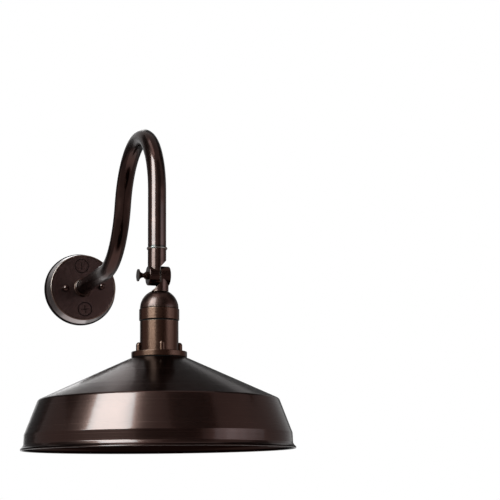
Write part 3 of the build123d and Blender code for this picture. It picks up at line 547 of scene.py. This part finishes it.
class Tree(Nodes):
    """A Geometry Nodes tree with named inputs, laid on one object and then applied."""

    def __init__(self, name):
        self.group = bpy.data.node_groups.new(name, "GeometryNodeTree")
        super().__init__(self.group)
        for way in ("INPUT", "OUTPUT"):
            self.group.interface.new_socket("Geometry", in_out=way, socket_type="NodeSocketGeometry")
        self.entry = self.add("NodeGroupInput")
        self.leave = self.add("NodeGroupOutput")
        self.identifiers = {}

    def take(self, **kinds):
        """Named inputs of the tree, with underscores for spaces; each kind is Float, Int or Material."""
        for key, kind in kinds.items():
            item = self.group.interface.new_socket(key.replace("_", " "), in_out="INPUT",
                                                   socket_type="NodeSocket" + kind)
            self.identifiers[key] = item.identifier
        return [self.entry.outputs[key.replace("_", " ")] for key in kinds]

    def line(self):
        """The line in the object's mesh."""
        return self.add("GeometryNodeMeshToCurve", {"Mesh": self.entry.outputs["Geometry"]}).outputs["Curve"]

    def circle(self, sides, radius):
        return self.add("GeometryNodeCurvePrimitiveCircle", {"Resolution": sides, "Radius": radius}).outputs["Curve"]

    def swept(self, line, section, caps=False):
        """A section swept along a line."""
        return self.add("GeometryNodeCurveToMesh", {"Curve": line, "Profile Curve": section,
                                                    "Fill Caps": caps}).outputs["Mesh"]

    def smooth(self, geometry):
        return self.add("GeometryNodeSetShadeSmooth", {"Geometry": geometry}).outputs["Geometry"]

    def copies(self, points, instance, **more):
        """A copy of instance at each point."""
        return self.add("GeometryNodeInstanceOnPoints",
                        {"Points": points, "Instance": instance, **more}).outputs["Instances"]

    def end(self, geometry, material):
        """Realize Instances and Set Material, then out."""
        real = self.add("GeometryNodeRealizeInstances", {"Geometry": geometry}).outputs["Geometry"]
        painted = self.add("GeometryNodeSetMaterial", {"Geometry": real, "Material": material})
        self.feed(self.leave.inputs["Geometry"], painted.outputs["Geometry"])
        return self

    def apply(self, piece, **values):
        """Runs the tree on piece and leaves a plain mesh."""
        modifier = piece.modifiers.new(self.group.name, "NODES")
        modifier.node_group = self.group
        for key, value in values.items():
            modifier[self.identifiers[key]] = value
        return settle(piece)


def settle(piece):
    """A piece's modifiers become its mesh."""
    depsgraph = bpy.context.evaluated_depsgraph_get()
    mesh = bpy.data.meshes.new_from_object(piece.evaluated_get(depsgraph))
    piece.modifiers.clear()
    piece.data = mesh
    if not mesh.polygons:
        raise RuntimeError(f"{piece.name} came out with no faces")
    return piece


def new_object(name, data):
    """An object in the scene."""
    thing = bpy.data.objects.new(name, data)
    bpy.context.scene.collection.objects.link(thing)
    return thing


def new_piece(name, vertices, edges=(), faces=()):
    """A mesh object at the origin."""
    mesh = bpy.data.meshes.new(name)
    mesh.from_pydata([tuple(point) for point in vertices], list(edges), list(faces))
    return new_object(name, mesh)


def chain(name, points, closed=False):
    """A mesh of one line through points."""
    edges = [(number, number + 1) for number in range(len(points) - 1)]
    if closed:
        edges.append((len(points) - 1, 0))
    return new_piece(name, points, edges)


def spin_tree():
    """Spins the outline in the object's mesh, drawn in X (radius) and Z, about a Z axis."""
    tree = Tree("Spin outline")
    steps, centre_x, centre_y, material = tree.take(Steps="Int", Centre_X="Float", Centre_Y="Float",
                                                    Material="Material")
    guide = tree.add("GeometryNodeSetCurveNormal", {"Curve": tree.circle(steps, GUIDE_RADIUS)}, mode="Z_UP")
    spun = tree.swept(guide.outputs["Curve"], tree.line())
    placed = tree.add("GeometryNodeTransform", {"Geometry": spun, "Translation": tree.combine(X=centre_x, Y=centre_y)})
    return tree.end(tree.smooth(placed.outputs["Geometry"]), material)


def sweep_tree():
    """Sweeps a round section along the line in the object's mesh."""
    tree = Tree("Round tube along a line")
    radius, sides, material = tree.take(Radius="Float", Sides="Int", Material="Material")
    return tree.end(tree.smooth(tree.swept(tree.line(), tree.circle(sides, radius))), material)


def thread_tree():
    """A ridge that winds round each point of the object's mesh, along the wall's outward direction."""
    tree = Tree("Screw thread at each point")
    radius, pitch, reach, ridge, material = tree.take(Radius="Float", Pitch="Float", Length="Float", Ridge="Float",
                                                      Material="Material")
    helix = tree.add("GeometryNodeCurveSpiral", {"Resolution": THREAD_STEPS, "Start Radius": radius,
                                                 "End Radius": radius, "Height": reach,
                                                 "Rotations": tree.maths("DIVIDE", reach, pitch)})
    thread = tree.swept(helix.outputs["Curve"], tree.circle(RIDGE_SIDES, ridge), caps=True)
    outwards = tree.add("GeometryNodeTransform", {"Geometry": thread, "Rotation": (math.radians(90.0), 0.0, 0.0)})
    return tree.end(tree.copies(tree.entry.outputs["Geometry"], outwards.outputs["Geometry"]), material)


def ring_tree():
    """Copies of the object's own mesh round a Z axis."""
    tree = Tree("Copies round an axis")
    count, radius, turn, material = tree.take(Count="Int", Radius="Float", Turn="Float", Material="Material")
    points = tree.add("GeometryNodeMeshLine", {"Count": count, "Offset": (0.0, 0.0, 0.0)}, mode="OFFSET")
    index = tree.add("GeometryNodeInputIndex").outputs["Index"]
    angle = tree.maths("ADD", tree.maths("MULTIPLY", index, tree.maths("DIVIDE", math.tau, count)), turn)
    x, y = (tree.maths("MULTIPLY", tree.maths(side, angle), radius) for side in ("COSINE", "SINE"))
    spread = tree.add("GeometryNodeSetPosition", {"Geometry": points.outputs["Mesh"], "Offset": tree.combine(X=x, Y=y)})
    turned = tree.combine(Z=tree.maths("MULTIPLY", index, SLOT_TURN))
    return tree.end(tree.copies(spread.outputs["Geometry"], tree.entry.outputs["Geometry"], Rotation=turned), material)


# ---- shapes

def rounded(points, radii, steps=6):
    """An open outline in a plane, with each inner corner rounded."""
    line = [Vector(points[0])]
    for before, corner, after, radius in zip(points, points[1:], points[2:], radii):
        corner = Vector(corner)
        back = (Vector(before) - corner).normalized()
        ahead = (Vector(after) - corner).normalized()
        half = back.angle(ahead) / 2
        centre = corner + (back + ahead).normalized() * (radius / math.sin(half))
        reach = radius / math.tan(half)
        start = corner + back * reach - centre
        turn = start.angle_signed(corner + ahead * reach - centre)
        line += [centre + Matrix.Rotation(-turn * number / steps, 2) @ start for number in range(steps + 1)]
    line.append(Vector(points[-1]))
    return line


def moved_in(line, gap):
    """The line moved sideways by gap, to its right."""
    headings = [(after - before).normalized() for before, after in zip(line[:1] + line, line[1:] + line[-1:])]
    return [point + Vector((heading.y, -heading.x)) * gap for point, heading in zip(line, headings)]


def ring_points(radius, steps):
    """Points round a circle in a plane."""
    angles = [math.tau * step / steps for step in range(steps)]
    return [(radius * math.cos(angle), radius * math.sin(angle)) for angle in angles]


def ring_faces(rows, steps):
    """Four-sided faces between rows of points that each go once round."""
    return [(row * steps + step, row * steps + (step + 1) % steps,
             (row + 1) * steps + (step + 1) % steps, (row + 1) * steps + step)
            for row in range(rows) for step in range(steps)]


def recalculated(piece):
    """Doubles merged and faces turned outwards."""
    work = bmesh.new()
    work.from_mesh(piece.data)
    bmesh.ops.remove_doubles(work, verts=work.verts, dist=1e-7)
    bmesh.ops.recalc_face_normals(work, faces=work.faces)
    work.to_mesh(piece.data)
    work.free()
    return piece


def thicken(piece, thickness, offset):
    """The sheet gets its thickness; an offset of -1 lays it inside, 1 outside."""
    wall = piece.modifiers.new("Wall", "SOLIDIFY")
    wall.thickness = thickness
    wall.offset = offset
    settle(piece)


def sharpen(piece, degrees):
    """Smooth faces with sharp edges past an angle."""
    piece.data.shade_smooth()
    piece.data.set_sharp_from_angle(angle=math.radians(degrees))


# A screw's head: the dome's share of its height, and the roundness of side and top.
DOME_SHARE, DOME_SIDE, DOME_TOP = 0.7, 0.6, 0.8
CURL_LEAD = math.radians(115.0)  # from the flare's heading to where its bead begins
CURL_TURNS = [math.radians(turn) for turn in range(0, 291, 15)]


def shade_outline(sizes, top, rim_low, rim_radius):
    """The sheet's closed outline: outside down to the bead, round it, and back inside."""
    bead = sizes.bead_radius
    rim = (rim_radius - bead, rim_low + bead)
    outside = [(sizes.hole_radius, top), (sizes.flat_radius, top),
               (sizes.shoulder_radius, top - sizes.shoulder_drop),
               (sizes.band_top_radius, top - sizes.band_top_drop),
               (sizes.band_foot_radius, top - sizes.band_foot_drop), rim]
    line = rounded(outside, [sizes.bend, 1.5 * sizes.bend, sizes.bend, 0.75 * sizes.bend])
    inside = moved_in(line, sizes.sheet)
    heading = (line[-1] - line[-2]).normalized()
    start = math.atan2(-heading.x, heading.y) + CURL_LEAD
    curl = [Vector(rim) + Vector((math.cos(start - turn), math.sin(start - turn))) * bead for turn in CURL_TURNS]
    return line[:-1] + curl + inside[-2::-1]


class SCONCE_OT_finishes(bpy.types.Operator):
    """Give every CAD node of the lamp its finish"""
    bl_idname = "sconce.finishes"
    bl_label = "Finishes"

    def execute(self, context):
        for plain in list(bpy.data.materials):
            bpy.data.materials.remove(plain)
        make_finishes(context.scene.sconce.bronze)
        for name, node in frame["nodes"].items():
            for slot in node.material_slots:
                slot.material = finish_of(name)
        return {"FINISHED"}


class SCONCE_OT_shade(bpy.types.Operator):
    """Spin the shade's sheet with its rolled rim"""
    bl_idname = "sconce.shade"
    bl_label = "Spun shade"

    def execute(self, context):
        sizes = context.scene.sconce.shade
        outline = shade_outline(sizes, SHADE_HIGH.z, SHADE_LOW.z, SHADE_HIGH.x - HEAD_AXIS.x)
        points = [(point.x - GUIDE_RADIUS, -point.y, 0.0) for point in outline]
        piece = chain("spun_shade", points, closed=True)
        spin_tree().apply(piece, Steps=SHADE_STEPS, Centre_X=HEAD_AXIS.x, Centre_Y=HEAD_AXIS.y,
                          Material=finish_of("shade"))
        recalculated(piece)
        sharpen(piece, 35.0)
        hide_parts("shade")
        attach(piece, "head")
        return {"FINISHED"}


class SCONCE_OT_arm(bpy.types.Operator):
    """Bend the arm's tube along its route"""
    bl_idname = "sconce.arm"
    bl_label = "Bent arm"

    def execute(self, context):
        sizes = context.scene.sconce.arm
        radius = (TUBE_HIGH.x - TUBE_LOW.x) / 2
        piece = chain("bent_arm", arm_line(sizes, -TUBE_HIGH.y, TUBE_LOW.z))
        sweep_tree().apply(piece, Radius=radius, Sides=TUBE_SIDES, Material=finish_of("arm_tube"))
        recalculated(piece)
        thicken(piece, sizes.wall, -1.0)
        sharpen(piece, 40.0)
        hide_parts("arm_tube")
        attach(piece, "root")
        return {"FINISHED"}


def arm_line(sizes, start, foot):
    """The arm's centre line: out of the wall, up, over the crook and down the leg."""
    def bend(at, heading, radius, turn, steps):
        side = Vector((-heading.y, heading.x)) * math.copysign(1.0, turn)
        centre = at + side * radius
        points = [centre + Matrix.Rotation(turn * number / steps, 2) @ (at - centre)
                  for number in range(1, steps + 1)]
        return points, Matrix.Rotation(turn, 2) @ heading

    line = [Vector((start, 0.0)), Vector((sizes.run, 0.0))]
    rise, heading = bend(line[-1], Vector((1.0, 0.0)), sizes.rise_radius, sizes.rise_angle, RISE_STEPS)
    line += rise
    line.append(line[-1] + heading * sizes.straight)
    crook, heading = bend(line[-1], heading, sizes.crook_radius, -sizes.rise_angle - math.pi / 2, CROOK_STEPS)
    line += crook
    line.append(Vector((line[-1].x, foot)))
    return [(0.0, -point.x, point.y) for point in line]


class SCONCE_OT_threads(bpy.types.Operator):
    """Cut the threads that show behind the canopy"""
    bl_idname = "sconce.threads"
    bl_label = "Threads"

    def execute(self, context):
        sizes = context.scene.sconce.threads
        tree = thread_tree()
        stud_x = (STUD_HIGH.x - STUD_LOW.x) / 2 - STUD_RADIUS
        stud_z = (STUD_HIGH.z - STUD_LOW.z) / 2 - STUD_RADIUS
        starts = [(stud_x, NUT_FRONT, stud_z), (-stud_x, NUT_FRONT, -stud_z)]
        reach = NUT_FRONT - (CANOPY_LOW.y + FACE_DEPTH)
        rows = (("stud_threads", starts, STUD_RADIUS, sizes.stud_pitch, reach, "canopy_studs"),
                ("nipple_thread", [(0.0, NIPPLE_HIGH.y, 0.0)], (NIPPLE_HIGH.x - NIPPLE_LOW.x) / 2,
                 sizes.nipple_pitch, NIPPLE_HIGH.y - LOCKNUT_BACK, "arm_nipple"))
        for name, places, radius, pitch, reach, node in rows:
            piece = new_piece(name, places)
            tree.apply(piece, Radius=radius, Pitch=pitch, Length=reach, Ridge=sizes.depth, Material=finish_of(node))
            recalculated(piece)
            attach(piece, "root")
        return {"FINISHED"}


class SCONCE_OT_screw_shell(bpy.types.Operator):
    """Roll the lamp thread into the brass shell"""
    bl_idname = "sconce.screw_shell"
    bl_label = "Screw shell"

    def execute(self, context):
        sizes = context.scene.sconce.threads
        middle = (SHELL_HIGH.x - SHELL_LOW.x) / 2 - SHELL_SHEET - sizes.shell_depth / 2
        height = SHELL_HIGH.z - SHELL_LOW.z
        centre_x = (SHELL_HIGH.x + SHELL_LOW.x) / 2
        vertices = []
        for row in range(SHELL_ALONG + 1):
            z = SHELL_LOW.z + height * row / SHELL_ALONG
            for step in range(SHELL_AROUND):
                angle = math.tau * step / SHELL_AROUND
                wave = math.cos(math.tau * (z - SHELL_LOW.z) / sizes.shell_pitch - angle)
                radius = middle + wave * sizes.shell_depth / 2
                vertices.append((centre_x + radius * math.cos(angle), HEAD_AXIS.y + radius * math.sin(angle), z))
        piece = new_piece("rolled_shell", vertices, faces=ring_faces(SHELL_ALONG, SHELL_AROUND))
        piece.data.materials.append(finish_of("screw_shell"))
        thicken(piece, SHELL_SHEET, 1.0)
        sharpen(piece, 40.0)
        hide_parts("screw_shell")
        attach(piece, "head")
        return {"FINISHED"}


def lathe_faces(outline, steps):
    """Vertices and faces of an outline, (radius, height), turned about Z and closed at its ends on the axis."""
    vertices = [(x, y, height) for radius, height in outline for x, y in ring_points(radius, steps)]
    faces = ring_faces(len(outline) - 1, steps)
    faces.append(tuple(range(steps)))
    faces.append(tuple(reversed(range((len(outline) - 1) * steps, len(outline) * steps))))
    return vertices, faces


class SCONCE_OT_shade_screws(bpy.types.Operator):
    """Set the pan-head screws round the shade's hole"""
    bl_idname = "sconce.shade_screws"
    bl_label = "Shade screws"

    def execute(self, context):
        sizes = context.scene.sconce.screws
        foot, tip = SCREWS_LOW.z, SCREWS_HIGH.z
        rise = (CLAMP_FACE - foot) * DOME_SHARE
        dome = [(sizes.head_radius * math.cos(turn) ** DOME_SIDE, foot + rise * (1.0 - math.sin(turn) ** DOME_TOP))
                for turn in map(math.radians, range(88, 0, -8))]
        outline = dome + [(sizes.head_radius, CLAMP_FACE), (SCREW_SHANK, CLAMP_FACE),
                          (SCREW_SHANK, tip - SCREW_SHANK * 0.4), (SCREW_SHANK * 0.6, tip)]
        vertices, faces = lathe_faces(outline, HEAD_SIDES)
        head = recalculated(new_piece("shade_screw_heads", vertices, faces=faces))
        slot = slot_cutter(sizes.head_radius, sizes.slot_width, sizes.slot_depth, foot)
        cut = head.modifiers.new("Slot", "BOOLEAN")
        cut.object = slot
        cut.solver = "EXACT"
        settle(head)
        head.data.materials.clear()
        bpy.data.objects.remove(slot)
        ring_tree().apply(head, Count=sizes.count, Radius=SCREW_CIRCLE, Turn=SCREW_TURN,
                          Material=finish_of("shade_screws"))
        head.data.transform(Matrix.Translation(HEAD_AXIS))
        sharpen(head, 35.0)
        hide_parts("shade_screws")
        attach(head, "head")
        return {"FINISHED"}


def slot_cutter(head_radius, width, depth, foot):
    """The block that cuts a driver slot into a head that points down."""
    across = 2.0 * head_radius
    corners = [(x, y, z) for x in (-across, across) for y in (-width / 2, width / 2)
               for z in (foot - depth, foot + depth)]
    faces = [(0, 1, 3, 2), (4, 6, 7, 5), (0, 4, 5, 1), (2, 3, 7, 6), (0, 2, 6, 4), (1, 5, 7, 3)]
    return recalculated(new_piece("slot_cutter", corners, faces=faces))


# ---- stage

FRAME_PIXELS = 500
FOCAL_PIXELS = 1279.797
SENSOR_MM = 36.0
CAMERA_PLACE = Vector((-506.446, -2409.177, -380.480)) * MM
CAMERA_YAW = math.radians(19.552)
CAMERA_PITCH = math.radians(10.557)
CAMERA_ROLL = math.radians(-0.712)
FLOOR_Z = -2.1  # far enough down for a look from below
FLOOR_RADIUS = 9.0
PLAIN_LEVEL = 0.75  # brightness of the world as a light
WHITE = (1.0, 1.0, 1.0)


def at_head(height):
    """A point on the head's axis."""
    return HEAD_AXIS.x, HEAD_AXIS.y, height


# A bank of narrow boxes on the right, by bearing in degrees and brightness.
RIGHT_BANK = ((34.0, 4.0), (44.0, 6.4), (54.0, 5.0), (64.0, 3.4), (74.0, 2.2))
BANK_REACH, BANK_HEIGHT, BANK_TINT = 1.8, 0.17, (0.74, 1.0, 1.16)

# name, place, target, width, height, brightness, for gloss only, tint
SOFTBOXES = (
    ("left_box", (-1.40, -1.34, 1.36), at_head(1.36), 1.2, 2.28, 56.0, True, (0.60, 1.0, 1.12)),
    *[(f"right_box_{number}", (HEAD_AXIS.x + BANK_REACH * math.sin(math.radians(bearing)),
                               HEAD_AXIS.y - BANK_REACH * math.cos(math.radians(bearing)), BANK_HEIGHT),
       at_head(BANK_HEIGHT), 0.31, 0.60, brightness, True, BANK_TINT)
      for number, (bearing, brightness) in enumerate(RIGHT_BANK)],
    ("back_left_box", (0.25, 1.42, 1.05), at_head(1.05), 0.5, 1.5, 2.1, True, WHITE),
    ("top_box", (-0.5, -0.6, 1.9), at_head(-0.2), 1.2, 0.5, 4.0, False, WHITE),
    ("low_back_box", (0.0, 0.15, -0.70), (0.0, 0.15, 0.0), 1.2, 1.0, 1.2, True, WHITE),
    ("arm_back_box", (-0.01, 0.25, -0.26), (-0.01, -0.25, 0.0), 0.22, 0.26, 1.3, True, WHITE),
)

# name, place, target, width, height, grey
CARDS = (
    ("front_right_card", (0.45, -2.0, 0.95), at_head(-0.2), 1.2, 1.9, 0.5),
    ("back_right_card", (1.08, 0.89, 1.61), at_head(-0.2), 1.9, 1.05, 0.32),
    ("front_low_card", (-0.19, -2.06, -0.12), at_head(-0.12), 1.46, 0.35, 0.3),
    ("left_card", (-1.23, 0.28, 1.25), at_head(-0.2), 1.5, 1.2, 0.3),
    ("right_card", (1.45, -0.19, 1.25), at_head(-0.2), 1.3, 1.2, 0.35),
    ("back_card", (0.79, 0.92, 0.16), (0.52, -0.05, 0.16), 0.95, 0.92, 0.2),
    ("back_left_card", (-0.555, 0.39, 0.08), (HEAD_AXIS.x - 0.055, HEAD_AXIS.y - 0.03, 0.08), 0.60, 0.80, 0.36),
    ("back_low_card", (0.21, 0.97, -0.1), (-0.06, 0.0, -0.1), 0.26, 0.46, 0.2),
)


def add_camera():
    """The camera that the photograph's outlines give."""
    ahead = Vector((math.sin(CAMERA_YAW) * math.cos(CAMERA_PITCH),
                    math.cos(CAMERA_YAW) * math.cos(CAMERA_PITCH), math.sin(CAMERA_PITCH)))
    right = Vector((math.cos(CAMERA_YAW), -math.sin(CAMERA_YAW), 0.0))
    up = right.cross(ahead)
    rolled_right = right * math.cos(CAMERA_ROLL) + up * math.sin(CAMERA_ROLL)
    rolled_up = up * math.cos(CAMERA_ROLL) - right * math.sin(CAMERA_ROLL)
    data = bpy.data.cameras.new("photo_camera")
    data.sensor_width = SENSOR_MM
    data.lens = FOCAL_PIXELS * SENSOR_MM / FRAME_PIXELS
    camera = new_object("photo_camera", data)
    turn = Matrix((rolled_right, rolled_up, -ahead)).transposed().to_4x4()
    camera.matrix_world = Matrix.Translation(CAMERA_PLACE) @ turn
    bpy.context.scene.camera = camera


def facing(place, target):
    """Where a flat thing stands that looks from place to target."""
    aim = (Vector(target) - Vector(place)).to_track_quat("-Z", "Y")
    return Matrix.Translation(place) @ aim.to_matrix().to_4x4()


def add_softbox(name, place, target, width, height, brightness, gloss_only, tint):
    """A soft light whose face has the given brightness; one for gloss only lights no plain surface."""
    data = bpy.data.lights.new(name, "AREA")
    data.shape = "RECTANGLE"
    data.size = width
    data.size_y = height
    data.energy = brightness * math.pi * width * height
    data.color = tint
    lamp = new_object(name, data)
    lamp.matrix_world = facing(place, target)
    lamp.visible_camera = False
    lamp.visible_diffuse = not gloss_only


def add_card(name, place, target, width, height, grey):
    """A dark card that the polished metal mirrors, out of the camera's sight."""
    corners = [facing(place, target) @ Vector((x * width / 2, y * height / 2, 0.0))
               for x, y in ((-1, -1), (1, -1), (1, 1), (-1, 1))]
    card = new_piece(name, corners, faces=[(0, 1, 2, 3)])
    card.data.materials.append(plain_finish(name, ((grey,) * 3, (grey * 0.8,) * 3), 2.0, Roughness=0.9,
                                            Specular_IOR_Level=0.0))
    card.visible_camera = card.visible_diffuse = card.visible_shadow = False


def add_floor(middle):
    """The pale floor that takes the object's shadow."""
    rim = [(middle.x + x, middle.y + y, FLOOR_Z) for x, y in ring_points(FLOOR_RADIUS, FLOOR_SIDES)]
    floor = new_piece("pale_floor", rim, faces=[tuple(range(FLOOR_SIDES))])
    floor.data.materials.append(plain_finish("pale_floor", ((0.90,) * 3, (0.86,) * 3), 3.0, Roughness=0.7,
                                             Specular_IOR_Level=0.0))


def add_world():
    """White where the camera, gloss or glass looks, and an even plain light elsewhere."""
    world = bpy.data.worlds.new("studio")
    bpy.context.scene.world = world
    world.use_nodes = True
    tree = Nodes(world.node_tree)
    tree.nodes.clear()
    white, plain = (tree.add("ShaderNodeBackground", {"Color": (*WHITE, 1.0), "Strength": strength})
                    for strength in (1.0, PLAIN_LEVEL))
    ray = tree.add("ShaderNodeLightPath").outputs
    seen = tree.maths("MAXIMUM", ray["Is Camera Ray"], ray["Is Glossy Ray"])
    mix = tree.add("ShaderNodeMixShader", {"Fac": tree.maths("MAXIMUM", seen, ray["Is Transmission Ray"]),
                                           1: plain.outputs["Background"], 2: white.outputs["Background"]})
    tree.add("ShaderNodeOutputWorld", {"Surface": mix.outputs["Shader"]})


class SCONCE_OT_stage(bpy.types.Operator):
    """Lay the pale floor and set the lights and the camera"""
    bl_idname = "sconce.stage"
    bl_label = "Stage"

    def execute(self, context):
        add_floor((Vector(CAD_BOX[0]) + Vector(CAD_BOX[1])) / 2)
        add_world()
        for row in SOFTBOXES:
            add_softbox(*row)
        for row in CARDS:
            add_card(*row)
        add_camera()
        context.scene.view_settings.view_transform = "Standard"
        return {"FINISHED"}


PIECES = (SCONCE_OT_finishes, SCONCE_OT_shade, SCONCE_OT_shade_screws, SCONCE_OT_arm, SCONCE_OT_threads,
          SCONCE_OT_screw_shell, SCONCE_OT_stage)


class SCONCE_PT_panel(bpy.types.Panel):
    """Sizes, finishes and pieces of the sconce"""
    bl_idname = "SCONCE_PT_panel"
    bl_label = "Gooseneck wall sconce"
    bl_space_type = "VIEW_3D"
    bl_region_type = "UI"
    bl_category = "Sconce"

    def draw(self, context):
        settings = context.scene.sconce
        for group in (settings.shade, settings.arm, settings.threads, settings.screws, settings.bronze):
            box = self.layout.box()
            for name in group.__annotations__:
                box.prop(group, name)
        for piece in PIECES:
            self.layout.operator(piece.bl_idname)


CLASSES = (ShadeSizes, ArmSizes, ThreadSizes, ScrewSizes, BronzeFinish, SconceSettings, *PIECES, SCONCE_PT_panel)


def register():
    for one in CLASSES:
        bpy.utils.register_class(one)
    bpy.types.Scene.sconce = bpy.props.PointerProperty(type=SconceSettings)


def unregister():
    del bpy.types.Scene.sconce
    for one in reversed(CLASSES):
        bpy.utils.unregister_class(one)


def main():
    register()
    bpy.ops.sconce.finishes()
    bpy.ops.sconce.shade()
    bpy.ops.sconce.shade_screws()
    bpy.ops.sconce.arm()
    bpy.ops.sconce.threads()
    bpy.ops.sconce.screw_shell()
    bpy.ops.sconce.stage()


if __name__ == "__main__":
    main()
